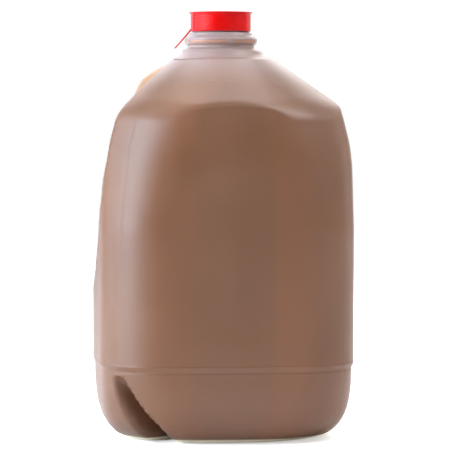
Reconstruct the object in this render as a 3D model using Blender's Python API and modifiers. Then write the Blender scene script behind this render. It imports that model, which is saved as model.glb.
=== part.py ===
"""One-gallon blow-moulded jug of apple cider, with its moulded handle and push-on cap.

Metres, +Z up. The origin is the centre of the base on the surface it stands on.
The handle lies on the -X side, in the XZ plane, which is the mould's parting plane.
The body is a rounded square whose corners point along X and Y.
"""

import math

import bmesh
import bpy
from mathutils import Vector

# Body, a rounded square in plan with slightly bowed sides
HALF_WIDTH = 0.0768
BOW = 0.0020
CORNER_RADIUS = 0.037
UPPER_CORNER_RADIUS = 0.054
ROUNDING_START = 0.125
ROUNDING_END = 0.185
BARREL_START = 0.1548
BARREL_TOP = 0.2034
BARREL_INSET = 0.0081
BARREL_POWER = 2.25

# Shoulder, a cone of revolution
CONE_RADIUS = 0.0317
CONE_HEIGHT = 0.2255
CONE_SLOPE = 0.695
SHOULDER_SOFTNESS = 0.006
HANDLE_SIDE_DROP = 0.0030
HANDLE_SIDE_REACH = math.radians(100)
HANDLE_SIDE_TOP = 0.2310

# Base, below the step that runs round the jug
FOOT_HALF_WIDTH = 0.0517
FOOT_CORNER_RADIUS = 0.046
FOOT_LAND = 0.005
FOOT_POWER = 2.66
BASE_TOP = 0.0410
BASE_TOP_HALF_WIDTH = 0.0757
STEP_HEIGHT = 0.0459
PUSH_UP = 0.007

# Notches that part the foot near the two corners beside the parting plane;
# each leans towards the front and widens as it goes down
NOTCH_TOP_DIRECTION = math.radians(93.6)
NOTCH_LEAN = math.radians(11.5)
NOTCH_HEIGHT = 0.0402
NOTCH_DEPTH = 0.38
NOTCH_TOP_HALF_ANGLE = math.radians(3.6)
NOTCH_WIDENING = math.radians(10.4)

# Hand recess behind the handle: height, and distance of its wall from the axis
RECESS = [
    (0.0860, 0.0920),
    (0.0890, 0.0740),
    (0.0950, 0.0600),
    (0.1065, 0.0497),
    (0.1180, 0.0422),
    (0.1300, 0.0371),
    (0.1420, 0.0312),
    (0.1540, 0.0290),
    (0.1650, 0.0260),
    (0.1770, 0.0252),
    (0.1890, 0.0242),
    (0.2010, 0.0225),
]
RECESS_DRAFT = 0.05
RECESS_SOFTNESS = 0.008

# Neck, radius and height from the shoulder up to the mouth
NECK = [
    (0.0289, 0.2264),
    (0.0258, 0.2285),
    (0.0248, 0.2298),
    (0.0230, 0.2313),
    (0.0203, 0.2327),
    (0.0200, 0.2337),
    (0.0212, 0.2349),
    (0.0218, 0.2366),
    (0.0213, 0.2383),
    (0.0192, 0.2399),
    (0.0182, 0.2415),
    (0.0167, 0.2421),
    (0.0167, 0.2522),
]
WALL = 0.0009

# Handle, a flattened tube; each stop is distance from the axis and height
HANDLE_PATH = [
    (0.0370, 0.2112),
    (0.0444, 0.2100),
    (0.0502, 0.2069),
    (0.0540, 0.2012),
    (0.0572, 0.1922),
    (0.0610, 0.1780),
    (0.0660, 0.1620),
    (0.0705, 0.1445),
    (0.0735, 0.1280),
    (0.0752, 0.1130),
]
HANDLE_HALF_THICKNESS = 0.0112
HANDLE_HALF_WIDTH = 0.0130
ROOT_SWELL = 1.14

# Cider inside the wall, filled into the neck
CIDER_INSET = 0.0016
FILL_HEIGHT = 0.2372

# Cap
CAP_RADIUS = 0.01805
CAP_FLANGE_RADIUS = 0.0190
CAP_FLANGE = 0.0008
CAP_TOP = 0.2540
CAP_SKIRT_FOOT = 0.2424
CAP_WALL = 0.0010
CAP_GROOVE = 0.00022
CAP_STEPS = 36
TAB_DIAMETER = 0.0011
TAB_DIRECTION = math.radians(-141)
TAB_DROP = 0.0125
TAB_REACH = 0.0100

# Mesh of the jug: columns round the axis, and heights of the body's rows
COLUMNS = 40
EDGE_COLUMN = 8
EDGE_NEAREST = math.radians(50)
EDGE_LEVEL = math.radians(76.4)
EDGE_RELEASE = 0.030
GATHER = 0.62
GATHER_ANGLE = math.radians(20)
BASE_HEIGHTS = [0.0008, 0.0030, 0.0075, 0.0135, 0.0205, 0.0280, 0.0350, 0.0402, 0.0424, 0.0459]
BODY_HEIGHTS = [
    0.055, 0.065, 0.076, 0.0860, 0.0880, 0.0905, 0.0930, 0.0955, 0.0980, 0.1005,
    0.1032, 0.1060, 0.1120, 0.1200, 0.1290, 0.1410, 0.1530, 0.1650, 0.1770,
    0.1850, 0.1910, 0.1955, 0.2000, 0.2055, 0.2110, 0.2165, 0.2225,
]
UPPER_ROOT = (0.2000, 0.2225)
LOWER_ROOT = (0.0860, 0.1060)
UPPER_ROOT_COLUMNS = 4
LOWER_ROOT_COLUMNS = 2


def smooth_step(value):
    """0 below 0, 1 above 1, and an even S between."""
    value = min(1.0, max(0.0, value))
    return value * value * (3 - 2 * value)


def soft_min(first, second, blend):
    """The smaller of two radii, rounded where they cross."""
    near = max(blend - abs(first - second), 0.0) / blend
    return min(first, second) - near * near * blend / 4


def bump(value):
    """1 at 0, falling smoothly to 0 at 1 and beyond."""
    return (1 - value * value) ** 2 if abs(value) < 1 else 0.0


def angle_from(angle, direction):
    """How far an angle is from a direction, from -pi to pi."""
    return (angle - direction + math.pi) % (2 * math.pi) - math.pi


def square_radius(angle, half_width, corner_radius):
    """Distance from the axis to a bowed, rounded square with its corners on the axes."""
    off_face = abs(angle_from(4 * angle, math.pi)) / 4
    flat = half_width - BOW
    straight = flat - corner_radius
    if flat * math.tan(off_face) <= straight:
        radius = flat / math.cos(off_face)
    else:
        along = math.cos(off_face) + math.sin(off_face)
        radius = straight * along + math.sqrt(
            corner_radius**2 - straight**2 * (2 - along**2)
        )
    return radius + BOW * (1 + math.cos(4 * off_face)) / 2


def half_width_at(height):
    """Distance from the axis to the flat of a side, from the foot to the shoulder."""
    if height <= BASE_TOP:
        share = (1 - (1 - height / BASE_TOP) ** FOOT_POWER) ** (1 / FOOT_POWER)
        return FOOT_HALF_WIDTH + (BASE_TOP_HALF_WIDTH - FOOT_HALF_WIDTH) * share
    if height < STEP_HEIGHT:
        return BASE_TOP_HALF_WIDTH
    share = max(0.0, height - BARREL_START) / (BARREL_TOP - BARREL_START)
    return HALF_WIDTH - BARREL_INSET * share**BARREL_POWER


def corner_radius_at(height):
    if height < BASE_TOP:
        share = height / BASE_TOP
        return FOOT_CORNER_RADIUS + (CORNER_RADIUS - FOOT_CORNER_RADIUS) * share
    share = (height - ROUNDING_START) / (ROUNDING_END - ROUNDING_START)
    share = min(1.0, max(0.0, share))
    return CORNER_RADIUS + (UPPER_CORNER_RADIUS - CORNER_RADIUS) * share


def handle_side_drop(angle, height):
    """How far the cone stands back on the handle's side."""
    if height > HANDLE_SIDE_TOP:
        return 0.0
    return HANDLE_SIDE_DROP * bump(angle_from(angle, math.pi) / HANDLE_SIDE_REACH)


def cone_radius(angle, height):
    full = CONE_RADIUS + (CONE_HEIGHT - height) / CONE_SLOPE
    return full - handle_side_drop(angle, height)


def recess_radius(angle, height):
    """Distance from the axis to the hand recess, or None where there is none."""
    off_handle = abs(angle_from(angle, math.pi))
    if height < RECESS[0][0] or off_handle > math.radians(88):
        return None
    distance = RECESS[-1][1]
    for (low, low_distance), (high, high_distance) in zip(RECESS, RECESS[1:]):
        if low <= height < high:
            share = (height - low) / (high - low)
            distance = low_distance + share * (high_distance - low_distance)
    return distance / (math.cos(off_handle) + RECESS_DRAFT * math.sin(off_handle))


def notch_direction(height):
    """Angle of a notch's middle, measured from the front of the parting plane."""
    return NOTCH_TOP_DIRECTION - NOTCH_LEAN * max(0.0, 1 - height / NOTCH_HEIGHT)


def notch(angle, height):
    """How much of the radius a notch takes away at this place."""
    share = 1 - height / NOTCH_HEIGHT
    if share <= 0:
        return 0.0
    off_notch = abs(abs(angle_from(angle, 0)) - notch_direction(height))
    half_angle = NOTCH_TOP_HALF_ANGLE + share * NOTCH_WIDENING
    return NOTCH_DEPTH * share**0.8 * smooth_step(1 - off_notch / half_angle)


def outer_radius(angle, height):
    """The body without its hand recess."""
    radius = square_radius(angle, half_width_at(height), corner_radius_at(height))
    radius *= 1 - notch(angle, height)
    return soft_min(radius, cone_radius(angle, height), SHOULDER_SOFTNESS)


def body_radius(angle, height):
    radius = outer_radius(angle, height)
    recess = recess_radius(angle, height)
    if recess is not None:
        radius = soft_min(radius, recess, RECESS_SOFTNESS)
    return radius


def recess_edge(height):
    """Angle from the handle to where the hand recess runs out at this height."""
    near, far = 0.0, math.radians(88)
    for _ in range(30):
        middle = (near + far) / 2
        recess = recess_radius(math.pi + middle, height)
        if recess is not None and recess < outer_radius(math.pi + middle, height):
            near = middle
        else:
            far = middle
    return near


def column_angles(height):
    """Angles of the grid's columns, which follow the recess's edge and the notches."""
    if RECESS[0][0] <= height < CONE_HEIGHT:
        edge = max(recess_edge(height), EDGE_NEAREST)
    elif height < RECESS[0][0]:
        share = smooth_step((RECESS[0][0] - height) / EDGE_RELEASE)
        edge = EDGE_NEAREST + share * (EDGE_LEVEL - EDGE_NEAREST)
    else:
        edge = EDGE_LEVEL
    angles = []
    for column in range(COLUMNS):
        place = abs(column - COLUMNS // 2)
        if place <= EDGE_COLUMN:
            off = edge * place / EDGE_COLUMN
        else:
            rest = (place - EDGE_COLUMN) / (COLUMNS // 2 - EDGE_COLUMN)
            off = edge + (math.pi - edge) * rest
        if height <= STEP_HEIGHT:
            away = off - (math.pi - notch_direction(height))
            off -= GATHER * away * math.exp(-((away / GATHER_ANGLE) ** 2))
        angles.append(math.pi + math.copysign(off, column - COLUMNS // 2))
    return angles


def polar(angle, radius, height):
    return Vector((radius * math.cos(angle), radius * math.sin(angle), height))


def underside_rows(angles):
    """The push-up under the base and the land that the jug stands on."""
    rows = []
    for share, height in ((0.45, PUSH_UP), (0.85, PUSH_UP), (0.97, 0.002)):
        rows.append([])
        for angle in angles:
            foot = body_radius(angle, 0.0) - FOOT_LAND
            lift = (PUSH_UP - height) * notch(angle, 0.0) / NOTCH_DEPTH
            rows[-1].append(polar(angle, foot * share, height + lift))
    for inset in (FOOT_LAND, 0.0):
        rows.append([])
        for angle in angles:
            lift = PUSH_UP * notch(angle, 0.0) / NOTCH_DEPTH
            rows[-1].append(polar(angle, body_radius(angle, 0.0) - inset, lift))
    return rows


def side_rows():
    """From the foot's rounding up to the top of the shoulder."""
    rows = []
    for height in BASE_HEIGHTS + BODY_HEIGHTS:
        rows.append([])
        for angle in column_angles(height):
            share = max(0.0, 1 - height / NOTCH_HEIGHT) ** 4
            lift = PUSH_UP * share * notch(angle, 0.0) / NOTCH_DEPTH
            rows[-1].append(polar(angle, body_radius(angle, height), height + lift))
    return rows


def block_rim(grid, outer_row, inner_row, half_columns):
    """Grid vertices round a root of the handle, from the tube's outer side and back."""
    middle = COLUMNS // 2
    first, last = middle - half_columns, middle + half_columns
    step = 1 if inner_row > outer_row else -1
    rim = [grid[outer_row][c] for c in range(middle, last)]
    rim += [grid[r][last] for r in range(outer_row, inner_row, step)]
    rim += [grid[inner_row][c] for c in range(last, first, -1)]
    rim += [grid[r][first] for r in range(inner_row, outer_row, -step)]
    rim += [grid[outer_row][c] for c in range(first, middle)]
    return rim


def handle_ring(mesh, index, count):
    """One ring of the handle's tube, starting on its outer side and going towards -Y."""
    here = Vector((HANDLE_PATH[index][0], 0, HANDLE_PATH[index][1]))
    before = HANDLE_PATH[max(0, index - 1)]
    after = HANDLE_PATH[min(len(HANDLE_PATH) - 1, index + 1)]
    along = Vector((after[0] - before[0], 0, after[1] - before[1])).normalized()
    outward = Vector((-along.z, 0, along.x))
    if index in (0, len(HANDLE_PATH) - 1):
        swell = ROOT_SWELL
    else:
        swell = 1.0
    ring = []
    for step in range(count):
        turn = 2 * math.pi * step / count
        point = here + outward * (math.cos(turn) * HANDLE_HALF_THICKNESS * swell)
        point.y = -math.sin(turn) * HANDLE_HALF_WIDTH * swell
        ring.append(mesh.verts.new((-point.x, point.y, point.z)))
    return ring


def bridge(mesh, first, second):
    """Quads between two rings of the same length."""
    for step in range(len(first)):
        after = (step + 1) % len(first)
        corners = (first[step], first[after], second[after], second[step])
        mesh.faces.new(corners)


def jug_surface():
    """The jug's outer skin as one open mesh, from the base's centre to the mouth."""
    angles = column_angles(CONE_HEIGHT)
    rows = underside_rows(column_angles(0.0)) + side_rows()
    shoulder_row = len(rows)
    heights = [None] * (shoulder_row - len(BODY_HEIGHTS)) + BODY_HEIGHTS
    for radius, height in NECK:
        row = [polar(a, radius - handle_side_drop(a, height), height) for a in angles]
        rows.append(row)
    mesh = bmesh.new()
    grid = [[mesh.verts.new(point) for point in row] for row in rows]
    centre = mesh.verts.new((0, 0, PUSH_UP))
    for c in range(COLUMNS):
        mesh.faces.new((centre, grid[0][(c + 1) % COLUMNS], grid[0][c]))
    roots = []
    for (low, high), half in (
        (UPPER_ROOT, UPPER_ROOT_COLUMNS),
        (LOWER_ROOT, LOWER_ROOT_COLUMNS),
    ):
        roots.append((heights.index(low), heights.index(high), half))
    middle = COLUMNS // 2
    for r in range(len(grid) - 1):
        for c in range(COLUMNS):
            inside = any(
                low <= r < high and middle - half <= c < middle + half
                for low, high, half in roots
            )
            if inside:
                continue
            after = (c + 1) % COLUMNS
            mesh.faces.new((grid[r][c], grid[r][after], grid[r + 1][after], grid[r + 1][c]))
    (low, high, half), (low_foot, high_foot, half_foot) = roots
    upper = block_rim(grid, high, low, half)
    lower = block_rim(grid, low_foot, high_foot, half_foot)
    rings = [handle_ring(mesh, i, len(upper)) for i in range(len(HANDLE_PATH))]
    loops = [upper] + rings + [lower]
    for first_loop, second_loop in zip(loops, loops[1:]):
        bridge(mesh, first_loop, second_loop)
    inner = [
        v for row in grid[1:-1] for v in row if not v.link_faces
    ]
    bmesh.ops.delete(mesh, geom=inner, context="VERTS")
    bmesh.ops.recalc_face_normals(mesh, faces=mesh.faces)
    bmesh.ops.triangulate(mesh, faces=mesh.faces)
    return mesh


def material(name, colour, roughness, alpha=1.0):
    made = bpy.data.materials.new(name)
    made.use_nodes = True
    shader = made.node_tree.nodes["Principled BSDF"]
    shader.inputs["Base Color"].default_value = (*colour, 1.0)
    shader.inputs["Roughness"].default_value = roughness
    shader.inputs["Alpha"].default_value = alpha
    return made


def add_object(name, mesh, collection, finish):
    data = bpy.data.meshes.new(name)
    mesh.to_mesh(data)
    mesh.free()
    data.materials.append(finish)
    data.shade_smooth()
    obj = bpy.data.objects.new(name, data)
    collection.objects.link(obj)
    return obj


def make_jug(collection):
    finish = material("translucent_plastic", (0.80, 0.72, 0.66), 0.4, 0.5)
    jug = add_object("jug", jug_surface(), collection, finish)
    wall = jug.modifiers.new("wall", "SOLIDIFY")
    wall.thickness = WALL
    wall.offset = -1
    return jug


def make_cider(collection):
    """The drink, shaped by the inside of the jug and level at the fill height."""
    mesh = jug_surface()
    above = [v for v in mesh.verts if v.co.z > FILL_HEIGHT]
    mesh.normal_update()
    normals = {v: v.normal.copy() for v in mesh.verts}
    for vert, normal in normals.items():
        vert.co -= normal * CIDER_INSET
    bmesh.ops.delete(mesh, geom=above, context="VERTS")
    rim = [e for e in mesh.edges if e.is_boundary]
    for vert in {v for e in rim for v in e.verts}:
        vert.co.z = FILL_HEIGHT
    bmesh.ops.holes_fill(mesh, edges=rim)
    bmesh.ops.triangulate(mesh, faces=mesh.faces)
    bmesh.ops.recalc_face_normals(mesh, faces=mesh.faces)
    finish = material("cider", (0.32, 0.13, 0.05), 0.3)
    return add_object("cider", mesh, collection, finish)


def cap_profile():
    """The cap's section as (radius, height), from its top's centre out, down and back."""
    outer = [(0, CAP_TOP), (CAP_FLANGE_RADIUS - 0.0003, CAP_TOP)]
    outer += [(CAP_FLANGE_RADIUS, CAP_TOP - CAP_FLANGE / 2)]
    outer += [(CAP_FLANGE_RADIUS - 0.0002, CAP_TOP - CAP_FLANGE)]
    outer += [(CAP_RADIUS, CAP_TOP - CAP_FLANGE - 0.0003)]
    for groove in range(3):
        height = CAP_TOP - 0.0042 - 0.0024 * groove
        outer.append((CAP_RADIUS, height + 0.0004))
        outer.append((CAP_RADIUS - CAP_GROOVE, height))
        outer.append((CAP_RADIUS, height - 0.0004))
    outer.append((CAP_RADIUS, CAP_SKIRT_FOOT))
    inside = CAP_RADIUS - CAP_WALL
    return outer + [
        (inside, CAP_SKIRT_FOOT),
        (inside, CAP_TOP - CAP_WALL - 0.0004),
        (0, CAP_TOP - CAP_WALL - 0.0004),
    ]


def applied(obj, name, collection, finish):
    """A new object holding another's evaluated mesh; the other one is removed."""
    bpy.context.view_layer.update()
    graph = bpy.context.evaluated_depsgraph_get()
    data = bpy.data.meshes.new_from_object(obj.evaluated_get(graph))
    welded = bmesh.new()
    welded.from_mesh(data)
    bmesh.ops.remove_doubles(welded, verts=welded.verts, dist=1e-6)
    bmesh.ops.recalc_face_normals(welded, faces=welded.faces)
    welded.to_mesh(data)
    welded.free()
    data.materials.clear()
    data.materials.append(finish)
    made = bpy.data.objects.new(name, data)
    made.matrix_world = obj.matrix_world.copy()
    bpy.data.objects.remove(obj)
    collection.objects.link(made)
    return made


def cap_turning(collection, finish):
    data = bpy.data.meshes.new("cap_profile")
    points = [(radius, 0, height) for radius, height in cap_profile()]
    data.from_pydata(points, [(i, i + 1) for i in range(len(points) - 1)], [])
    profile = bpy.data.objects.new("cap_profile", data)
    collection.objects.link(profile)
    turning = profile.modifiers.new("turning", "SCREW")
    turning.steps = turning.render_steps = CAP_STEPS
    turning.use_merge_vertices = True
    turning.merge_threshold = 0.00005
    return applied(profile, "cap", collection, finish)


def pull_tab(collection, finish):
    """The thin tail that hangs from the cap's skirt."""
    curve = bpy.data.curves.new("pull_tab", "CURVE")
    curve.dimensions = "3D"
    curve.bevel_depth = TAB_DIAMETER / 2
    curve.bevel_resolution = 1
    curve.use_fill_caps = True
    spline = curve.splines.new("POLY")
    steps = 5
    spline.points.add(steps)
    for step in range(steps + 1):
        share = step / steps
        radius = CAP_RADIUS - 0.0003 + TAB_REACH * share
        height = CAP_SKIRT_FOOT + 0.0015 - TAB_DROP * share + 0.0010 * share**2
        spline.points[step].co = (*polar(TAB_DIRECTION, radius, height), 1)
    tab = bpy.data.objects.new("pull_tab", curve)
    collection.objects.link(tab)
    return applied(tab, "pull_tab_solid", collection, finish)


def make_cap(collection, tools):
    finish = material("red_cap", (0.78, 0.02, 0.02), 0.35)
    cap = cap_turning(collection, finish)
    tab = pull_tab(tools, finish)
    tab.hide_render = True
    tab.display_type = "WIRE"
    join = cap.modifiers.new("pull_tab", "BOOLEAN")
    join.operation = "UNION"
    join.object = tab
    return cap


def main():
    for obj in list(bpy.data.objects):
        bpy.data.objects.remove(obj)
    scene = bpy.context.scene
    parts = bpy.data.collections.new("cider_jug")
    tools = bpy.data.collections.new("tools")
    scene.collection.children.link(parts)
    scene.collection.children.link(tools)
    make_jug(parts)
    make_cider(parts)
    make_cap(parts, tools)


main()
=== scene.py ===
# %% [markdown]
# A gallon jug of apple cider
#
# The real jug is one skin of cloudy polyethylene, blown like a balloon inside a mould, then filled
# with brown cider and shut with a red cap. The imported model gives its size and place. This lesson
# makes the fine surface over it: the skin, the drink behind it, the cap, and how each of them takes
# light. Everything is in metres, with +Z up and the jug standing on height 0.

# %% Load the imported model
import math

import bmesh
import bpy
import numpy as np
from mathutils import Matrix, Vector


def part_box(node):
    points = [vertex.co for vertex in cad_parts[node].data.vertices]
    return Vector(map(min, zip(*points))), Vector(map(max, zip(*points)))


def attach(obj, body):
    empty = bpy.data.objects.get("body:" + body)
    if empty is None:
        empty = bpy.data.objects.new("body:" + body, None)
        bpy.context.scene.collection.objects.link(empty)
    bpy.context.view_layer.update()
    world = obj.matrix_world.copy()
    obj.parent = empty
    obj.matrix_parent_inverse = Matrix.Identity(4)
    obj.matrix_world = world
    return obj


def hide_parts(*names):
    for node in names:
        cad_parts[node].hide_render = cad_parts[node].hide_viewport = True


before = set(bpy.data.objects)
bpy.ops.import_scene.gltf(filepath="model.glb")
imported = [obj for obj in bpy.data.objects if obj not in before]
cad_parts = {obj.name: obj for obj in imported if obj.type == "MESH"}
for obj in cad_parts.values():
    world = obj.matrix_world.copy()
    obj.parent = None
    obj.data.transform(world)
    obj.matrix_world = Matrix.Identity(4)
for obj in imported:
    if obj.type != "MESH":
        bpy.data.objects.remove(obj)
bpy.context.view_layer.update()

jug_low, jug_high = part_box("jug")
cap_low, cap_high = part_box("cap")
cider_low, cider_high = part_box("cider")
print("jug", tuple(jug_low), tuple(jug_high))
print("cap foot and top", cap_low.z, cap_high.z)

# %% [markdown]
# The camera stands where the photographer stood. A jug seen almost level, with hardly any
# perspective, was taken with a long lens from about 1.7 m. The jug is turned so that its front
# face looks a little to the right of the lens and its handle is hidden behind the left shoulder.

# %% Camera
IMAGE_WIDTH = 453
SENSOR_WIDTH = 36.0
FOCAL_PIXELS = 2776.0
CAMERA_DISTANCE = 1.6758
CAMERA_HEIGHT = 0.1901
CAMERA_DOWN = 0.0389
JUG_AXIS_PIXEL = 220.85
VIEW_TURN = math.radians(39.33)

to_right = Vector((math.cos(VIEW_TURN), math.sin(VIEW_TURN), 0))
to_back = Vector((-math.sin(VIEW_TURN), math.cos(VIEW_TURN), 0))
eye = -to_back * CAMERA_DISTANCE + Vector((0, 0, CAMERA_HEIGHT))
beside_axis = (IMAGE_WIDTH / 2 - JUG_AXIS_PIXEL) / FOCAL_PIXELS
looking = to_back * math.cos(CAMERA_DOWN) - Vector((0, 0, math.sin(CAMERA_DOWN)))
looking = (looking + to_right * beside_axis).normalized()

lens = bpy.data.cameras.new("photo_camera")
lens.sensor_width = SENSOR_WIDTH
lens.lens = SENSOR_WIDTH * FOCAL_PIXELS / IMAGE_WIDTH
lens.clip_end = 100
camera = bpy.data.objects.new("photo_camera", lens)
camera.location = eye
camera.rotation_euler = looking.to_track_quat("-Z", "Y").to_euler()
bpy.context.scene.collection.objects.link(camera)
bpy.context.scene.camera = camera
print("camera at", tuple(round(v, 3) for v in eye), "lens", round(lens.lens, 1), "mm")

# %% [markdown]
# The jug's plan is a rounded square with slightly bowed sides, and its corners point along X and Y
# so that the handle can lie on one of them. A polar radius, a distance from the axis for every
# angle and height, describes such a skin well: each feature is then one small function, and two
# features meet by taking the smaller radius with a rounded crossing.

# %% Small curves used by every shape
def smooth(value):
    """0 below 0, 1 above 1, and an even S between."""
    value = np.clip(value, 0.0, 1.0)
    return value * value * (3 - 2 * value)


def hill(value):
    """1 at 0, falling smoothly to 0 at 1 and beyond."""
    return np.clip(1 - np.square(value), 0.0, 1.0) ** 2


def smaller(first, second, rounding):
    """The smaller of two radii, rounded where they cross."""
    near = np.clip(rounding - np.abs(first - second), 0.0, None) / rounding
    return np.minimum(first, second) - near * near * rounding / 4


def angle_between(angle, direction):
    """How far an angle is from a direction, from -pi to pi."""
    return (angle - direction + math.pi) % (2 * math.pi) - math.pi


def through(stops, place):
    """A smooth curve through (place, value) stops, read at one or many places."""
    x = np.array([stop[0] for stop in stops])
    y = np.array([stop[1] for stop in stops])
    slope = np.gradient(y, x)
    place = np.clip(place, x[0], x[-1])
    left = np.clip(np.searchsorted(x, place, side="right") - 1, 0, len(x) - 2)
    width = x[left + 1] - x[left]
    t = (place - x[left]) / width
    return (
        y[left] * (1 + 2 * t) * (1 - t) ** 2
        + slope[left] * width * t * (1 - t) ** 2
        + y[left + 1] * t * t * (3 - 2 * t)
        + slope[left + 1] * width * t * t * (t - 1)
    )


# %% Outline of the body
HALF_WIDTH = 0.0768
BOW = 0.0020
CORNER_RADIUS = 0.037
UPPER_CORNER_RADIUS = 0.054
ROUNDING_START, ROUNDING_END = 0.125, 0.185
BARREL_START, BARREL_TOP = 0.1548, 0.2034
BARREL_INSET, BARREL_POWER = 0.0081, 2.25
FOOT_HALF_WIDTH, FOOT_CORNER_RADIUS = 0.0517, 0.046
FOOT_POWER = 2.66
BASE_TOP, BASE_TOP_HALF_WIDTH = 0.0410, 0.0757
STEP_FOOT, STEP_HEIGHT = 0.0424, 0.0459


def rounded_square(angle, half_width, corner_radius):
    """Distance from the axis to a bowed, rounded square with its corners on the axes."""
    off_face = np.abs(angle_between(4 * angle, math.pi)) / 4
    flat = half_width - BOW
    straight = flat - corner_radius
    along = np.cos(off_face) + np.sin(off_face)
    inside_root = np.maximum(corner_radius**2 - straight**2 * (2 - along**2), 0)
    rounded = straight * along + np.sqrt(inside_root)
    on_flat = flat * np.tan(off_face) <= straight
    radius = np.where(on_flat, flat / np.cos(off_face), rounded)
    return radius + BOW * (1 + np.cos(4 * off_face)) / 2


def half_width_at(height):
    """Distance from the axis to the flat of a side, from the foot to the shoulder."""
    rise = np.clip(1 - height / BASE_TOP, 0, 1)
    share = (1 - rise**FOOT_POWER) ** (1 / FOOT_POWER)
    base = FOOT_HALF_WIDTH + (BASE_TOP_HALF_WIDTH - FOOT_HALF_WIDTH) * share
    lean = np.clip(height - BARREL_START, 0, None) / (BARREL_TOP - BARREL_START)
    side = HALF_WIDTH - BARREL_INSET * lean**BARREL_POWER
    step = smooth((height - STEP_FOOT) / (STEP_HEIGHT - STEP_FOOT))
    return base + (side - base) * step


def corner_radius_at(height):
    low = np.clip(height / BASE_TOP, 0, 1)
    foot = FOOT_CORNER_RADIUS + (CORNER_RADIUS - FOOT_CORNER_RADIUS) * low
    high = np.clip((height - ROUNDING_START) / (ROUNDING_END - ROUNDING_START), 0, 1)
    return foot + (UPPER_CORNER_RADIUS - CORNER_RADIUS) * high


# %% [markdown]
# Details on the body. The shoulder is a plain cone, so each flat side cuts it in an arch, and the
# label panel sinks slightly below that arch. A step runs round the jug above its base, with a fine
# bead on the step's lip and a softer one below. Two notches part the foot beside the handle's
# plane. They make a finger hold for pouring.

# %% Shoulder, panel, step and notches
CONE_RADIUS, CONE_HEIGHT, CONE_SLOPE = 0.0317, 0.2255, 0.695
HANDLE_SIDE_DROP, HANDLE_SIDE_REACH = 0.0030, math.radians(100)
HANDLE_SIDE_FADE = (0.2298, 0.2313)
CORNER_SHOULDER_SOFTNESS = 0.0075
PANEL_SHOULDER_SOFTNESS = 0.0028
PANEL_SHOULDER_EDGE = 0.022
PANEL_DIRECTIONS = (math.radians(-45), math.radians(45))
PANEL_HALF_WIDTH = 0.0292
PANEL_EDGE = 0.0060
PANEL_DEPTH = 0.0004
PANEL_BOTTOM, PANEL_BOTTOM_EDGE = 0.0520, 0.0200
LIP_BEAD_HEIGHT, LIP_BEAD_HALF, LIP_BEAD = 0.0461, 0.0008, 0.00016
LOWER_BEAD_HEIGHT, LOWER_BEAD_HALF, LOWER_BEAD = 0.0417, 0.0015, 0.00015
NOTCH_HEIGHT, NOTCH_DEPTH = 0.0402, 0.42
NOTCH_TOP_DIRECTION, NOTCH_LEAN = math.radians(93.6), math.radians(11.5)
NOTCH_TOP_HALF_ANGLE, NOTCH_WIDENING = math.radians(3.6), math.radians(4.2)
NOTCH_WALL = 0.85
PUSH_UP = 0.007


def handle_side_drop(angle, height):
    """How far the cone stands back on the handle's side."""
    low, high = HANDLE_SIDE_FADE
    below_neck = 1 - smooth((height - low) / (high - low))
    return HANDLE_SIDE_DROP * hill(angle_between(angle, math.pi) / HANDLE_SIDE_REACH) * below_neck


def cone_radius(angle, height):
    full = CONE_RADIUS + (CONE_HEIGHT - height) / CONE_SLOPE
    return full - handle_side_drop(angle, height)


def notch_direction(height):
    """Angle of a notch's middle, which leans towards the front as it widens downwards."""
    return NOTCH_TOP_DIRECTION - NOTCH_LEAN * np.clip(1 - height / NOTCH_HEIGHT, 0, 1)


def notch(angle, height):
    """How much of the radius a notch takes away at this place."""
    share = np.clip(1 - height / NOTCH_HEIGHT, 0, 1)
    off_notch = np.abs(np.abs(angle_between(angle, 0)) - notch_direction(height))
    widest = NOTCH_TOP_HALF_ANGLE + share * NOTCH_WIDENING
    return NOTCH_DEPTH * share**0.8 * smooth((1 - off_notch / widest) / NOTCH_WALL)


def on_panel(angle, across, edge):
    """1 on a label panel's width, 0 away from it, with an edge this wide between."""
    share = 0.0
    for direction in PANEL_DIRECTIONS:
        sideways = np.abs(across * np.sin(angle - direction))
        facing = np.cos(angle - direction) > 0.5
        share = share + facing * smooth((PANEL_HALF_WIDTH - sideways) / edge + 0.5)
    return share


def outer_radius(angle, height):
    """The body without its hand recess."""
    radius = rounded_square(angle, half_width_at(height), corner_radius_at(height))
    radius = radius + LIP_BEAD * hill((height - LIP_BEAD_HEIGHT) / LIP_BEAD_HALF)
    radius = radius + LOWER_BEAD * hill((height - LOWER_BEAD_HEIGHT) / LOWER_BEAD_HALF)
    radius = radius * (1 - notch(angle, height))
    panel = on_panel(angle, radius, PANEL_EDGE)
    cone = cone_radius(angle, height)
    below_arch = smooth((cone - radius - 0.0006) / 0.0022)
    above_foot = smooth((height - PANEL_BOTTOM) / PANEL_BOTTOM_EDGE)
    radius = radius - PANEL_DEPTH * panel * below_arch * above_foot
    softness = CORNER_SHOULDER_SOFTNESS
    crisp = on_panel(angle, radius, PANEL_SHOULDER_EDGE)
    softness = softness + (PANEL_SHOULDER_SOFTNESS - softness) * crisp
    return smaller(radius, cone, softness)


# %% [markdown]
# Behind the handle the jug is pressed in, so that fingers fit round it. The recess is a second
# surface, given by how far its wall stands from the axis at each height, and it opens a little
# towards the two sides so that the jug could leave its mould.

# %% Hand recess
RECESS = [
    (0.0860, 0.0920), (0.0890, 0.0740), (0.0950, 0.0600), (0.1065, 0.0497),
    (0.1180, 0.0422), (0.1300, 0.0371), (0.1420, 0.0312), (0.1540, 0.0290),
    (0.1650, 0.0260), (0.1770, 0.0252), (0.1890, 0.0242), (0.2010, 0.0225),
]
RECESS_REACH = math.radians(88)
RECESS_DRAFT = 0.05
RECESS_SOFTNESS = 0.008
NO_RECESS = 1.0


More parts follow.
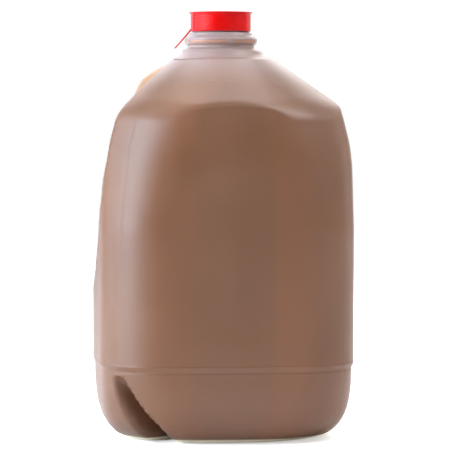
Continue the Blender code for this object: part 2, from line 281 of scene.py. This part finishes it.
def recess_radius(angle, height):
    """Distance from the axis to the hand recess, very far where there is none."""
    off_handle = np.abs(angle_between(angle, math.pi))
    distance = through(RECESS, height)
    opening = np.cos(off_handle) + RECESS_DRAFT * np.sin(off_handle)
    absent = (off_handle > RECESS_REACH) | (height < RECESS[0][0])
    return np.where(absent, NO_RECESS, distance / np.maximum(opening, 0.05))


def body_radius(angle, height):
    return smaller(outer_radius(angle, height), recess_radius(angle, height), RECESS_SOFTNESS)


# %% [markdown]
# The skin is a grid: columns of points go up the jug and rows go round it. Columns that follow the
# recess's edge and gather at the notches give each form its own points, so nothing is stepped or
# ragged. Rows are close together where the height brings a feature and far apart where it doesn't.

# %% Columns of the grid
COLUMNS = 200
EDGE_COLUMN = 40
EDGE_NEAREST = math.radians(50)
EDGE_LEVEL = math.radians(76.4)
EDGE_RELEASE = 0.030
GATHER, GATHER_ANGLE, GATHER_RELEASE = 0.62, math.radians(20), 0.080


def recess_edge(height):
    """Angle from the handle to where the hand recess runs out at this height."""
    off = np.linspace(0.0, RECESS_REACH, 2000)
    angle = math.pi + off
    inside = recess_radius(angle, height) < outer_radius(angle, height)
    return off[np.nonzero(inside)[0].max()] if inside.any() else 0.0


def columns_at(height):
    """Angles of the grid's columns at one height."""
    if RECESS[0][0] <= height < CONE_HEIGHT:
        edge = max(recess_edge(height), EDGE_NEAREST)
    elif height < RECESS[0][0]:
        share = float(smooth((RECESS[0][0] - height) / EDGE_RELEASE))
        edge = EDGE_NEAREST + share * (EDGE_LEVEL - EDGE_NEAREST)
    else:
        edge = EDGE_LEVEL
    place = np.arange(COLUMNS) - COLUMNS // 2
    count = np.abs(place)
    rest = (count - EDGE_COLUMN) / (COLUMNS // 2 - EDGE_COLUMN)
    off = np.where(count <= EDGE_COLUMN, edge * count / EDGE_COLUMN, edge + (math.pi - edge) * rest)
    away = off - (math.pi - notch_direction(height))
    gathered = GATHER * float(smooth((GATHER_RELEASE - height) / (GATHER_RELEASE - STEP_HEIGHT)))
    off = off - gathered * away * np.exp(-np.square(away / GATHER_ANGLE))
    return math.pi + np.copysign(off, place)


# %% Rows of the grid
UPPER_ROOT, UPPER_ROOT_ROWS, UPPER_ROOT_COLUMNS = (0.2000, 0.2225), 20, 20
LOWER_ROOT, LOWER_ROOT_ROWS, LOWER_ROOT_COLUMNS = (0.0860, 0.1060), 36, 12
STRETCHES = [
    (0.0008, 0.0060, 8), (0.0060, 0.0400, 34), (0.0400, 0.0480, 27), (0.0480, 0.0640, 12),
    (0.0640, 0.0860, 12), (0.0860, 0.1060, LOWER_ROOT_ROWS), (0.1060, 0.1860, 44),
    (0.1860, 0.2000, 16), (0.2000, 0.2225, UPPER_ROOT_ROWS), (0.2225, 0.2255, 5),
]
NECK = [
    (0.0317, 0.2255), (0.0289, 0.2264), (0.0258, 0.2285), (0.0248, 0.2298), (0.0230, 0.2313),
    (0.0203, 0.2327), (0.0200, 0.2337), (0.0212, 0.2349), (0.0218, 0.2366), (0.0213, 0.2383),
    (0.0192, 0.2399), (0.0182, 0.2415), (0.0167, 0.2421), (0.0167, 0.2522),
]
NECK_STEPS = 4
FOOT_LAND = 0.005
LAND_STEPS = (1.0, 0.6, 0.25, 0.0)
UNDERSIDE = [
    (0.2, 1), (0.45, 1), (0.65, 1), (0.80, 0.97), (0.88, 0.8), (0.94, 0.45), (0.98, 0.12),
]

body_heights = [STRETCHES[0][0]]
for low, high, count in STRETCHES:
    body_heights += [low + (high - low) * (i + 1) / count for i in range(count)]
print("rows up the body", len(body_heights), "columns round it", COLUMNS)


def polar(angles, radii, height):
    """Points at these angles and radii, as an array of rows of x, y, z."""
    heights = np.broadcast_to(height, np.shape(angles))
    return np.stack([radii * np.cos(angles), radii * np.sin(angles), heights], axis=-1)


def neck_profile():
    """The neck's (radius, height) points, rounded between its stops."""
    stops = np.array(NECK)
    before = np.vstack([2 * stops[0] - stops[1], stops[:-1]])
    after = np.vstack([stops[1:], 2 * stops[-1] - stops[-2]])
    slope = (after - before) / 2
    profile = []
    for i in range(len(stops) - 1):
        size = np.linalg.norm(stops[i + 1] - stops[i])
        for step in range(NECK_STEPS):
            t = (step + 1) / NECK_STEPS
            start = slope[i] * min(1, size / max(np.linalg.norm(slope[i]), 1e-9))
            end = slope[i + 1] * min(1, size / max(np.linalg.norm(slope[i + 1]), 1e-9))
            profile.append(
                stops[i] * (1 + 2 * t) * (1 - t) ** 2 + start * t * (1 - t) ** 2
                + stops[i + 1] * t * t * (3 - 2 * t) + end * t * t * (t - 1)
            )
    return profile


def skin_rows():
    """All rows, from the middle of the base up to the mouth."""
    rows = []
    angles = columns_at(0.0)
    foot = body_radius(angles, 0.0)
    lift = PUSH_UP * notch(angles, 0.0) / NOTCH_DEPTH
    for share, rise in UNDERSIDE:
        raised = PUSH_UP * rise + lift * (1 - rise)
        rows.append(polar(angles, (foot - FOOT_LAND) * share, raised))
    for share in LAND_STEPS:
        rows.append(polar(angles, foot - FOOT_LAND * share, lift))
    for height in body_heights:
        angles = columns_at(height)
        low = max(0.0, 1 - height / NOTCH_HEIGHT) ** 4
        raised = low * PUSH_UP * notch(angles, 0.0) / NOTCH_DEPTH
        rows.append(polar(angles, body_radius(angles, height), height + raised))
    angles = columns_at(CONE_HEIGHT)
    for radius, height in neck_profile():
        rows.append(polar(angles, radius - handle_side_drop(angles, height), height))
    return rows


# %% [markdown]
# The handle is a flattened tube that grows out of the shoulder and runs down the corner into the
# body. It is lofted: rings of points follow a curved path, and at each end the tube flares into a
# hole left in the skin's grid. The flare's points leave the skin along its own slope and arrive
# along the tube, which gives the same soft web as blown plastic has.

# %% Handle
HANDLE_PATH = [
    (0.0370, 0.2112), (0.0444, 0.2100), (0.0502, 0.2069), (0.0540, 0.2012), (0.0572, 0.1922),
    (0.0610, 0.1780), (0.0660, 0.1620), (0.0705, 0.1445), (0.0735, 0.1280), (0.0752, 0.1130),
]
HANDLE_HALF_THICKNESS, HANDLE_HALF_WIDTH = 0.0112, 0.0130
ROOT_SWELL, SWELL_LENGTH = 1.14, 0.008
HANDLE_RINGS = 56
PROBE = 0.0005
FLARE_RINGS = 9
FLARE_FULLNESS = 0.825
SOFTENING_PASSES = 6


def handle_frames():
    """Places along the handle: its middle, its direction and its swelling at the ends."""
    stops = np.array(HANDLE_PATH)
    run = np.concatenate([[0], np.cumsum(np.linalg.norm(np.diff(stops, axis=0), axis=1))])

    def at(place):
        out, up = (float(through(list(zip(run, stops[:, axis])), place)) for axis in (0, 1))
        return Vector((out, 0, up))

    frames = []
    for place in np.linspace(0, run[-1], HANDLE_RINGS):
        along = (at(min(place + PROBE, run[-1])) - at(max(place - PROBE, 0))).normalized()
        end = min(place, run[-1] - place)
        swell = 1 + (ROOT_SWELL - 1) * float(smooth(1 - end / SWELL_LENGTH))
        frames.append((at(place), along, swell))
    return frames


def handle_ring(middle, along, swell, count):
    """One ring of the tube, starting on its outer side and going towards -Y."""
    outward = Vector((-along.z, 0, along.x))
    ring = []
    for step in range(count):
        turn = 2 * math.pi * step / count
        point = middle + outward * (math.cos(turn) * HANDLE_HALF_THICKNESS * swell)
        point.y = -math.sin(turn) * HANDLE_HALF_WIDTH * swell
        ring.append(Vector((-point.x, point.y, point.z)))
    return ring


def flare(rim, ring, axis):
    """Rings between a hole's rim in the skin and the tube's first ring."""
    rings = []
    for step in range(1, FLARE_RINGS + 1):
        t = step / (FLARE_RINGS + 1)
        points = []
        for start, normal, end in zip([v.co for v in rim], [v.normal for v in rim], ring):
            reach = end - start
            leave = reach - normal * reach.dot(normal)
            leave = leave.normalized() * reach.length * FLARE_FULLNESS
            arrive = axis * reach.length * FLARE_FULLNESS
            points.append(
                start * (1 + 2 * t) * (1 - t) ** 2 + leave * t * (1 - t) ** 2
                + end * t * t * (3 - 2 * t) + arrive * t * t * (t - 1)
            )
        rings.append(points)
    return rings


# %% Skin: grid, holes for the handle's roots, and the handle itself
def block_rim(grid, outer_row, inner_row, half_columns):
    """Grid vertices round a root of the handle, from the tube's outer side and back."""
    middle = COLUMNS // 2
    first, last = middle - half_columns, middle + half_columns
    step = 1 if inner_row > outer_row else -1
    rim = [grid[outer_row][c] for c in range(middle, last)]
    rim += [grid[r][last] for r in range(outer_row, inner_row, step)]
    rim += [grid[inner_row][c] for c in range(last, first, -1)]
    rim += [grid[r][first] for r in range(inner_row, outer_row, -step)]
    rim += [grid[outer_row][c] for c in range(first, middle)]
    return rim


def bridge(mesh, loops):
    """Quads between each pair of neighbouring rings."""
    for ring, following in zip(loops, loops[1:]):
        for step in range(len(ring)):
            after = (step + 1) % len(ring)
            mesh.faces.new((ring[step], ring[after], following[after], following[step]))


def skin():
    """The jug's outer surface as one open mesh, from the base's centre to the mouth."""
    rows = skin_rows()
    mesh = bmesh.new()
    grid = [[mesh.verts.new(point) for point in row] for row in rows]
    centre = mesh.verts.new((0, 0, PUSH_UP))
    for c in range(COLUMNS):
        mesh.faces.new((centre, grid[0][(c + 1) % COLUMNS], grid[0][c]))
    first_body_row = len(rows) - len(body_heights) - len(neck_profile())
    middle = COLUMNS // 2
    roots = []
    for root, half in ((UPPER_ROOT, UPPER_ROOT_COLUMNS), (LOWER_ROOT, LOWER_ROOT_COLUMNS)):
        low, high = (int(np.argmin(np.abs(np.array(body_heights) - z))) for z in root)
        roots.append((low + first_body_row, high + first_body_row, half))
    for r in range(len(grid) - 1):
        for c in range(COLUMNS):
            off = abs(c + 0.5 - middle)
            if any(low <= r < high and off < half for low, high, half in roots):
                continue
            after = (c + 1) % COLUMNS
            mesh.faces.new((grid[r][c], grid[r][after], grid[r + 1][after], grid[r + 1][c]))
    mesh.normal_update()
    (low, high, half), (low_foot, high_foot, half_foot) = roots
    upper_rim = block_rim(grid, high, low, half)
    lower_rim = block_rim(grid, low_foot, high_foot, half_foot)
    frames = handle_frames()
    rings = [handle_ring(*place, len(upper_rim)) for place in frames]
    down = Vector((-frames[0][1].x, 0, frames[0][1].z))
    up = -Vector((-frames[-1][1].x, 0, frames[-1][1].z))
    upper_flare = flare(upper_rim, rings[0], down)
    lower_flare = flare(lower_rim, rings[-1], up)
    soft = [v for rim in (upper_rim, lower_rim) for v in rim]
    tube = []
    for points in upper_flare + rings + lower_flare[::-1]:
        tube.append([mesh.verts.new(point) for point in points])
    soft += [v for ring in tube[: FLARE_RINGS + 2] + tube[-FLARE_RINGS - 2:] for v in ring]
    bridge(mesh, [upper_rim] + tube + [lower_rim])
    inner = [v for row in grid[1:-1] for v in row if not v.link_faces]
    bmesh.ops.delete(mesh, geom=inner, context="VERTS")
    for _ in range(SOFTENING_PASSES):
        bmesh.ops.smooth_vert(
            mesh, verts=soft, factor=0.5, use_axis_x=True, use_axis_y=True, use_axis_z=True
        )
    bmesh.ops.recalc_face_normals(mesh, faces=mesh.faces)
    return mesh


outer_skin = skin()
print("skin", len(outer_skin.verts), "points", len(outer_skin.faces), "faces")


# %% Objects from meshes
def piece_from(name, mesh):
    """A smooth-shaded object made of a bmesh, which is freed."""
    data = bpy.data.meshes.new(name)
    mesh.to_mesh(data)
    mesh.free()
    data.shade_smooth()
    piece = bpy.data.objects.new(name, data)
    bpy.context.scene.collection.objects.link(piece)
    return piece


# %% [markdown]
# The drink fills the skin. On the real jug it touches the wall everywhere below its level, so its
# surface is the skin moved inwards by less than the wall's thickness: it reaches just into the
# wall, and no gap of air shows between them. Its top is a flat disc in the neck.

# %% Cider
WALL = 0.0009
CIDER_INSET = 0.0006
fill_height = cider_high.z

cider_mesh = outer_skin.copy()
cider_mesh.normal_update()
inward = [(v, v.co - v.normal * CIDER_INSET) for v in cider_mesh.verts]
for vert, place in inward:
    vert.co = place
cut = bmesh.ops.bisect_plane(
    cider_mesh, geom=cider_mesh.verts[:] + cider_mesh.edges[:] + cider_mesh.faces[:],
    plane_co=(0, 0, fill_height), plane_no=(0, 0, 1), clear_outer=True,
)
level_edges = [e for e in cut["geom_cut"] if isinstance(e, bmesh.types.BMEdge)]
bmesh.ops.holes_fill(cider_mesh, edges=level_edges)
bmesh.ops.recalc_face_normals(cider_mesh, faces=cider_mesh.faces)
cider = piece_from("cider_fill", cider_mesh)
print("cider level", round(fill_height, 4))

# %% [markdown]
# The wall itself is the skin with a thickness. Solidify adds the inner side and closes the rim of
# the mouth, which is how a blown bottle is: one even skin, outside and inside.

# %% Wall of the jug
jug = piece_from("jug_wall", outer_skin)
thickness = jug.modifiers.new("wall", "SOLIDIFY")
thickness.thickness = WALL
thickness.offset = -1
print("wall", WALL * 1000, "mm")

# %% [markdown]
# The cap is a moulded cup with a thin lip round its top, fine rings round its skirt and a torn
# strand of its tamper band. A turned part is one profile swept round the axis.

# %% Cap
CAP_RADIUS, CAP_LIP_RADIUS, CAP_LIP = 0.01805, 0.0190, 0.0008
CAP_WALL = 0.0010
CAP_STEPS = 160
RING_PITCH, RING_DEPTH = 0.00112, 0.00010
cap_top = cap_high.z
skirt_foot = 0.2424


def cap_profile():
    """The cap's section as (radius, height), from its top's centre out, down and back."""
    lip = CAP_LIP_RADIUS
    outer = [(0, cap_top - 0.0005), (0.0120, cap_top - 0.0005), (0.0126, cap_top - 0.0001)]
    outer += [(0.0131, cap_top), (lip - 0.0004, cap_top), (lip - 0.0001, cap_top - 0.0001)]
    outer += [(lip, cap_top - 0.0004), (lip - 0.0001, cap_top - 0.0007)]
    outer += [(lip - 0.0004, cap_top - CAP_LIP)]
    outer += [(CAP_RADIUS + 0.0001, cap_top - CAP_LIP - 0.0001)]
    ring_top = cap_top - CAP_LIP - 0.0005
    rings = int((ring_top - skirt_foot - 0.0004) / RING_PITCH)
    for ring in range(rings):
        height = ring_top - ring * RING_PITCH
        outer += [(CAP_RADIUS, height), (CAP_RADIUS, height - RING_PITCH * 0.45)]
        outer += [(CAP_RADIUS - RING_DEPTH, height - RING_PITCH * 0.62)]
        outer += [(CAP_RADIUS - RING_DEPTH, height - RING_PITCH * 0.82)]
    outer += [(CAP_RADIUS, skirt_foot + 0.0003), (CAP_RADIUS - 0.0003, skirt_foot)]
    inside = CAP_RADIUS - CAP_WALL
    return outer + [(inside, skirt_foot), (inside, cap_top - 0.0019), (0, cap_top - 0.0019)]


def turned(name, profile, steps):
    """A solid of revolution, welded on the axis."""
    mesh = bmesh.new()
    on_profile = [mesh.verts.new((radius, 0, height)) for radius, height in profile]
    edges = [mesh.edges.new(pair) for pair in zip(on_profile, on_profile[1:])]
    bmesh.ops.spin(
        mesh, geom=on_profile + edges, cent=(0, 0, 0), axis=(0, 0, 1), angle=2 * math.pi,
        steps=steps, use_merge=True,
    )
    bmesh.ops.remove_doubles(mesh, verts=mesh.verts, dist=1e-6)
    bmesh.ops.recalc_face_normals(mesh, faces=mesh.faces)
    return piece_from(name, mesh)


cap = turned("cap_shell", cap_profile(), CAP_STEPS)
cap.data.set_sharp_from_angle(angle=math.radians(50))
print("cap", len(cap.data.polygons), "faces")

# %% [markdown]
# A strand of the tamper band hangs from the skirt. It is a thin curve with a round section that
# leaves the skirt and bends away as torn plastic does.

# %% Torn strand
STRAND_DIRECTION = math.radians(-141)
STRAND_RADIUS, STRAND_TIP_RADIUS = 0.00052, 0.00036
STRAND_DROP, STRAND_REACH, STRAND_SAG, STRAND_SWAY = 0.0125, 0.0100, 0.0010, 0.05
STRAND_POINTS = 14


def strand(name):
    """A thin curve from the skirt outwards and down, thinner at its tip."""
    curve = bpy.data.curves.new(name, "CURVE")
    curve.dimensions = "3D"
    curve.bevel_depth = STRAND_RADIUS
    curve.bevel_resolution = 4
    curve.use_fill_caps = True
    spline = curve.splines.new("POLY")
    spline.points.add(STRAND_POINTS - 1)
    for i in range(STRAND_POINTS):
        share = i / (STRAND_POINTS - 1)
        radius = CAP_RADIUS - 0.0003 + STRAND_REACH * share
        height = skirt_foot + 0.0015 - STRAND_DROP * share + STRAND_SAG * share**2
        aside = STRAND_DIRECTION + STRAND_SWAY * math.sin(3 * share)
        spline.points[i].co = (radius * math.cos(aside), radius * math.sin(aside), height, 1)
        spline.points[i].radius = 1 + (STRAND_TIP_RADIUS / STRAND_RADIUS - 1) * share
    piece = bpy.data.objects.new(name, curve)
    bpy.context.scene.collection.objects.link(piece)
    return piece


tail = strand("torn_strand")

# %% [markdown]
# Shader nodes are easier to read as arithmetic. A Field wraps one socket, and adding or multiplying
# Fields adds the Math nodes. A Finish is one material: it makes any other node with one method.

# %% Shader maths
class Field:
    """A number that varies over a surface; its operators add Math nodes."""

    def __init__(self, finish, socket):
        self.finish = finish
        self.socket = socket

    def maths(self, operation, *values):
        sockets = {i: value for i, value in enumerate(values)}
        return self.finish.node("ShaderNodeMath", {"operation": operation}, sockets)

    def __add__(self, other):
        return self.maths("ADD", self, other)

    def __radd__(self, other):
        return self.maths("ADD", other, self)

    def __sub__(self, other):
        return self.maths("SUBTRACT", self, other)

    def __rsub__(self, other):
        return self.maths("SUBTRACT", other, self)

    def __mul__(self, other):
        return self.maths("MULTIPLY", self, other)

    def __rmul__(self, other):
        return self.maths("MULTIPLY", other, self)

    def __neg__(self):
        return self.maths("MULTIPLY", self, -1.0)

    def size(self):
        return self.maths("ABSOLUTE", self)

    def between(self, low, high):
        """0 at low, 1 at high, and a smooth step between."""
        settings = {"interpolation_type": "SMOOTHSTEP"}
        sockets = {"Value": self, "From Min": low, "From Max": high}
        return self.finish.node("ShaderNodeMapRange", settings, sockets)


class Finish:
    """One material, built around a Principled shader."""

    def __init__(self, name, **constants):
        self.material = bpy.data.materials.new(name)
        self.material.use_nodes = True
        self.tree = self.material.node_tree
        self.shader = self.tree.nodes["Principled BSDF"]
        for socket, value in constants.items():
            self.shader.inputs[socket.replace("_", " ")].default_value = value
        where = self.node("ShaderNodeTexCoord", {}, {}, "Object")
        self.where = where
        parts = self.tree.nodes.new("ShaderNodeSeparateXYZ")
        self.tree.links.new(where.socket, parts.inputs[0])
        self.x, self.y, self.z = (Field(self, parts.outputs[i]) for i in range(3))

    def node(self, kind, settings, sockets, output=0):
        """Adds a node, sets it up, fills its sockets and gives one of its outputs."""
        made = self.tree.nodes.new(kind)
        for setting, value in settings.items():
            setattr(made, setting, value)
        for socket, value in sockets.items():
            if isinstance(value, Field):
                self.tree.links.new(value.socket, made.inputs[socket])
            else:
                made.inputs[socket].default_value = value
        return Field(self, made.outputs[output])

    def noise(self, scale, detail=3.0, roughness=0.5, vector=None):
        sockets = {"Scale": scale, "Detail": detail, "Roughness": roughness}
        sockets["Vector"] = vector or self.where
        return self.node("ShaderNodeTexNoise", {}, sockets)

    def stretched(self, x, y, z):
        """The place on the surface, scaled differently along each axis."""
        return self.node("ShaderNodeMapping", {}, {"Vector": self.where, "Scale": (x, y, z)})

    def blend(self, factor, first, second):
        """A colour between two others: first where factor is 0, second where it is 1."""
        sockets = {"Factor": factor, 6: first, 7: second}
        return self.node("ShaderNodeMix", {"data_type": "RGBA"}, sockets, 2)

    def feed(self, **fields):
        for socket, field in fields.items():
            self.tree.links.new(field.socket, self.shader.inputs[socket.replace("_", " ")])

    def relief(self, height, distance, strength=1.0):
        """Fine relief: a Bump node from a height Field."""
        sockets = {"Height": height, "Distance": distance, "Strength": strength}
        return self.node("ShaderNodeBump", {}, sockets)


def rgb(red, green, blue):
    """A colour given as screen values from 0 to 255, made linear for the shader."""
    def linear(value):
        value /= 255
        return value / 12.92 if value <= 0.04045 else ((value + 0.055) / 1.055) ** 2.4
    return (linear(red), linear(green), linear(blue), 1.0)


# %% [markdown]
# Cloudy polyethylene. Thin over brown cider it looks brown with a satin, slightly waxy gloss;
# where it stands alone, at the neck, it is milky. The colour therefore goes from brown to milky
# with height. The tan on the handle is painted light: a glow of light passing through its thin
# drink. The thick rim of the foot is paler plastic, painted brighter still as a glow of light
# passing through. The warm orange beside the label panels is painted glow of light passing through
# the drink. Faint clouds, vertical flow lines and the mould's seam break it up.

# %% Where the wall's tints start and end
NECK_HAZE = (0.2060, 0.2330)
ROLL_FOOT, ROLL_TOP = (0.2343, 0.2353), (0.2371, 0.2376)
FOOT_LINE = (0.0020, 0.0034)
HANDLE_LEAN, HANDLE_LINE = -0.235, 0.0935
HANDLE_GLOW_DEPTH, HANDLE_GLOW_FOOT, HANDLE_GLOW_SIDE = (-0.008, 0.002), (0.098, 0.132), (0.011, 0.017)
PAINTED_GLOW_START, PAINTED_GLOW_END = (0.004, 0.026), (0.033, 0.040)
SEAM_WIDTH, SEAM_FOOT, SEAM_TOP = (0.0002, 0.0008), (0.095, 0.125), (0.199, 0.205)
CLOUD_RELIEF = 0.00012
print("the seam fades between", SEAM_FOOT[0], "and", SEAM_TOP[1])

# %% Finish of the wall
wall = Finish("cloudy_polyethylene", IOR=1.5, Roughness=0.36)
milky = rgb(156, 136, 134)
# Painted orange glow: light passing through the drink beside the label panels.
painted_orange_glow = rgb(136, 84, 54)
# The tan on the handle is painted light: a glow of light passing through its thin drink.
tan = rgb(172, 132, 92)
# The foot's thick rim is paler plastic, and this colour also paints it brighter as a glow of light
# passing through.
pale_rim_painted_brighter = rgb(250, 236, 205)

clouds = wall.noise(22.0, 4.0, 0.55)
flow = wall.noise(1.0, 3.0, 0.6, wall.stretched(260, 260, 9))
neck_share = wall.z.between(*NECK_HAZE)
handle_line = wall.z * HANDLE_LEAN + HANDLE_LINE
# Where the handle gets its painted glow of light passing through.
handle_painted_glow = (-wall.x - handle_line).between(*HANDLE_GLOW_DEPTH) * wall.z.between(*HANDLE_GLOW_FOOT)
handle_painted_glow = handle_painted_glow * (1 - wall.y.size().between(*HANDLE_GLOW_SIDE))
# The thick rim of the foot: its own paler plastic, with painted glow on top.
foot_rim_with_painted_glow = 1 - wall.z.between(*FOOT_LINE)
tone = wall.blend(clouds.between(0.3, 0.75), rgb(108, 75, 55), rgb(119, 84, 64))
from_corner = wall.x.maths("MINIMUM", wall.x.size(), wall.y.size())
# The warm orange beside the panels is painted light, a glow of light passing through the drink.
painted_glow_by_panel = from_corner.between(*PAINTED_GLOW_START) * (1 - from_corner.between(*PAINTED_GLOW_END))
tone = wall.blend(painted_glow_by_panel * (0.10 + clouds * 0.45), tone, painted_orange_glow)
tone = wall.blend(neck_share, tone, milky)
tone = wall.blend(handle_painted_glow, tone, tan)
tone = wall.blend(foot_rim_with_painted_glow, tone, pale_rim_painted_brighter)
seam = (1 - wall.x.size().between(*SEAM_WIDTH)) * wall.z.between(*SEAM_FOOT)
seam = seam * (1 - wall.z.between(*SEAM_TOP))
tone = wall.blend(seam * 0.7, tone, rgb(70, 45, 32))
grain = wall.relief(flow * 0.05 + clouds - seam * 0.5, CLOUD_RELIEF, 0.35)
wall.feed(Base_Color=tone, Roughness=0.33 + clouds * 0.08, Normal=grain)
# In the roll the wall turns more see-through in patches, so the drink's painted glow shows there.
in_roll = wall.z.between(*ROLL_FOOT) * (1 - wall.z.between(*ROLL_TOP))
in_roll = in_roll * wall.noise(60.0, 1.0).between(0.42, 0.56)
wall.feed(Alpha=0.60 + neck_share * 0.12 + flow * 0.05 + foot_rim_with_painted_glow * 0.4 - in_roll * 0.30)

# %% Finish of the cider
drink = Finish("cloudy_cider", IOR=1.5, Roughness=0.36)
haze = drink.noise(14.0, 4.0, 0.6)
body_tone = drink.blend(haze.between(0.3, 0.7), rgb(144, 91, 56), rgb(155, 100, 65))
# Higher up the drink is painted lighter and orange: a glow of light passing through the thin drink in
# the neck.
neck_painted_glow = drink.z.between(0.2160, 0.2340)
drink_tone_and_glow = drink.blend(neck_painted_glow, body_tone, rgb(186, 130, 84))
drink_tone_and_glow = drink.blend(drink.z.between(0.2335, 0.2350), drink_tone_and_glow, rgb(214, 136, 78))
drink.feed(Base_Color=drink_tone_and_glow, Roughness=0.36 + haze * 0.05)

# %% [markdown]
# The cap is solid red plastic with a soft shine. Moulded plastic is never quite even: its gloss
# varies, and fine scuffs run round the skirt.

# %% Finish of the cap
red = Finish("red_polyethylene", IOR=1.45, Roughness=0.22, Specular_IOR_Level=0.16)
mottle = red.noise(160.0, 3.0, 0.6)
scuffs = red.noise(1.0, 4.0, 0.7, red.stretched(90, 90, 2600))
red_tone = red.blend(mottle.between(0.25, 0.75), rgb(192, 2, 1), rgb(204, 5, 3))
red.feed(Base_Color=red_tone, Roughness=0.16 + scuffs * 0.14)
red.feed(Normal=red.relief(scuffs + mottle * 0.4, 0.00008, 0.5))

for piece, finish in ((jug, wall), (cider, drink), (cap, red), (tail, red)):
    piece.data.materials.append(finish.material)
    print(piece.name, "has", finish.material.name)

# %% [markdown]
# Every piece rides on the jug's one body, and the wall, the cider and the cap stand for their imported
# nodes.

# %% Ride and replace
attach(jug, "root")
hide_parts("jug")
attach(cider, "root")
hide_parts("cider")
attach(cap, "root")
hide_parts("cap")
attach(tail, "root")

# %% [markdown]
# The photograph was taken on white with large soft lights at the left, whose reflection is the pale
# band on the left corner. Lights above and behind make the shoulder pale, and weak ones at the right
# leave the front its own brown. Strips in two rows and five boxes above stand in for that studio.
# Only the camera sees the paper's own glow, which keeps the floor white. The glow is weaker near the
# jug and paints shade round the jug's soft shadow.

# %% Floor
FLOOR_HALF = 12.0
NEAR_JUG_SHADED_GLOW, GLOW_FADE = 0.44, (0.15, 1.10)
floor_mesh = bmesh.new()
bmesh.ops.create_grid(floor_mesh, x_segments=1, y_segments=1, size=FLOOR_HALF)
floor = piece_from("floor", floor_mesh)
paper = Finish("white_paper", Roughness=0.8)
fibres = paper.noise(900.0, 2.0, 0.5)
paper.feed(Base_Color=paper.blend(fibres, (0.90, 0.90, 0.90, 1), (0.94, 0.94, 0.94, 1)))
paper.shader.inputs["Emission Strength"].default_value = 1.0
from_jug = paper.node("ShaderNodeVectorMath", {"operation": "LENGTH"}, {0: paper.where}, 1)
camera_ray = paper.node("ShaderNodeLightPath", {}, {})
# The glow is weaker near the jug, which paints shade round its soft shadow.
glow = (NEAR_JUG_SHADED_GLOW + from_jug.between(*GLOW_FADE) * (1 - NEAR_JUG_SHADED_GLOW)) * camera_ray
paper.feed(Emission_Color=paper.blend(glow, (0, 0, 0, 1), (1, 1, 1, 1)))
floor.data.materials.append(paper.material)

# %% Lights
AIM_HEIGHT = 0.12


def soft_box(name, turn, height, distance, width, tall, watts, colour=(1, 1, 1)):
    """A square light at an angle from the camera's side, aimed at the jug's middle."""
    light = bpy.data.lights.new(name, "AREA")
    light.shape = "RECTANGLE"
    light.size = width
    light.size_y = tall
    light.energy = watts
    light.color = colour
    box = bpy.data.objects.new(name, light)
    turn = math.radians(turn)
    direction = -to_back * math.cos(turn) - to_right * math.sin(turn)
    box.location = direction * distance + Vector((0, 0, height))
    aim = Vector((0, 0, AIM_HEIGHT)) - box.location
    box.rotation_euler = aim.to_track_quat("-Z", "Y").to_euler()
    box.visible_camera = False
    bpy.context.scene.collection.objects.link(box)
    return box


STRIP_HEIGHT, STRIP_DISTANCE, STRIP_TALL = 0.55, 1.3, 1.2
LEFT_WIDTH, RIGHT_WIDTH = 0.36, 0.50
LEFT_STRIPS = [(45, 3.6), (60, 13.9), (75, 11.6), (90, 7.9), (110, 5.9), (130, 0.8), (150, 3.0)]
COOL = (0.88, 1.03, 1.20)
RIGHT_STRIPS = [(35, 1.4), (55, 1.25), (75, 2.1), (100, 1.7), (130, 2.7), (160, 2.3)]
for turn, watts in LEFT_STRIPS:
    place = (turn, STRIP_HEIGHT, STRIP_DISTANCE)
    soft_box("left_strip", *place, LEFT_WIDTH, STRIP_TALL, watts, COOL)
for turn, watts in RIGHT_STRIPS:
    place = (-turn, STRIP_HEIGHT, STRIP_DISTANCE)
    soft_box("right_strip", *place, RIGHT_WIDTH, STRIP_TALL, watts)
soft_box("front_top", 0, 1.3, 0.9, 0.8, 0.8, 4.4)
soft_box("back_top", 180, 1.4, 0.6, 0.9, 0.7, 10.0)
soft_box("back_low", 180, 0.9, 1.4, 1.2, 0.8, 9.7)
soft_box("left_top", 90, 1.3, 0.8, 0.8, 0.8, 5.1)
soft_box("right_top", -90, 1.3, 0.8, 0.8, 0.8, 14.7)

# %% [markdown]
# The camera sees plain white all round, as in the photograph, but no light comes from there, so
# that the soft boxes alone shape the jug.

# %% World
world = bpy.data.worlds.new("studio")
world.use_nodes = True
bpy.context.scene.world = world
sky = world.node_tree
background = sky.nodes["Background"]
seen = sky.nodes.new("ShaderNodeBackground")
seen.inputs["Color"].default_value = (1, 1, 1, 1)
seen.inputs["Strength"].default_value = 1.0
background.inputs["Color"].default_value = (1, 1, 1, 1)
background.inputs["Strength"].default_value = 0.0
path = sky.nodes.new("ShaderNodeLightPath")
choose = sky.nodes.new("ShaderNodeMixShader")
output = sky.nodes["World Output"]
sky.links.new(path.outputs["Is Camera Ray"], choose.inputs["Fac"])
sky.links.new(background.outputs[0], choose.inputs[1])
sky.links.new(seen.outputs[0], choose.inputs[2])
sky.links.new(choose.outputs[0], output.inputs["Surface"])
bpy.context.scene.view_settings.view_transform = "Standard"
